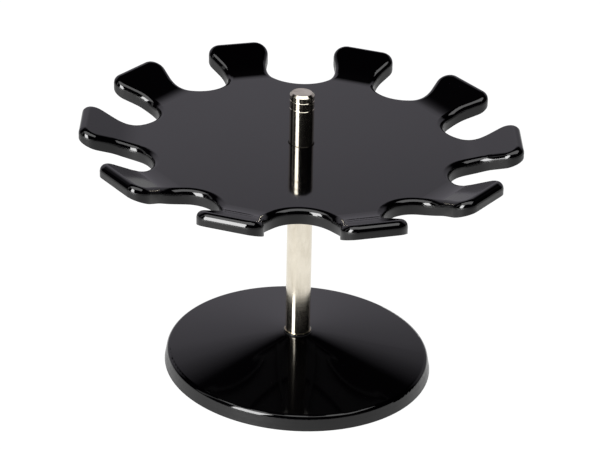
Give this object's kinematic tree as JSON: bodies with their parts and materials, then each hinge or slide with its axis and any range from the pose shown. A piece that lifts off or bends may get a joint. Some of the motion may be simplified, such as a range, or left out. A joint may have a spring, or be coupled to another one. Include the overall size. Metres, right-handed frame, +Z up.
{
  "type": "rotating desk carousel",
  "caption": "Rotating desk carousel: scalloped plate with upturned tabs between open slots, spinning on a slim metal column with a weighted round base.",
  "frame": {"origin": "centre of the round base at table level", "axes": "+Z up along the column, the axis the plate spins about; the two wider slots open along +Y and -Y"},
  "size_m": [0.175, 0.171, 0.1226],
  "materials": {
    "plate_black": "gloss",
    "bush": "satin",
    "column_nickel": "bright nickel",
    "ring_nickel": "bright nickel",
    "spring_steel": "oiled",
    "thrust_washer": "satin",
    "base_black": "gloss",
    "cover_black": "textured",
    "screw_steel": "zinc plated",
    "feet": "matt",
    "ballast": "mill",
    "bolt_steel": "zinc plated",
    "washer_steel": "zinc plated"
  },
  "bodies": {
    "stand": {"base_shell": "base_black", "base_cover": "cover_black", "cover_screws": "screw_steel", "rubber_feet": "feet", "ballast_disc": "ballast", "ballast_screws": "screw_steel", "column": "column_nickel", "column_bolt": "bolt_steel", "spring_washer": "spring_steel", "plain_washer": "washer_steel", "foot_ring": "ring_nickel", "retaining_ring": "spring_steel", "thrust_washer": "thrust_washer"},
    "carrier": {"carousel_plate": "plate_black", "hub_bush": "bush"}
  },
  "joints": [
    {"name": "carousel_spin", "type": "hinge", "parent": "stand", "child": "carrier", "pos_m": [0, 0, 0.09], "axis": [0, 0, 1], "continuous": true}
  ]
}
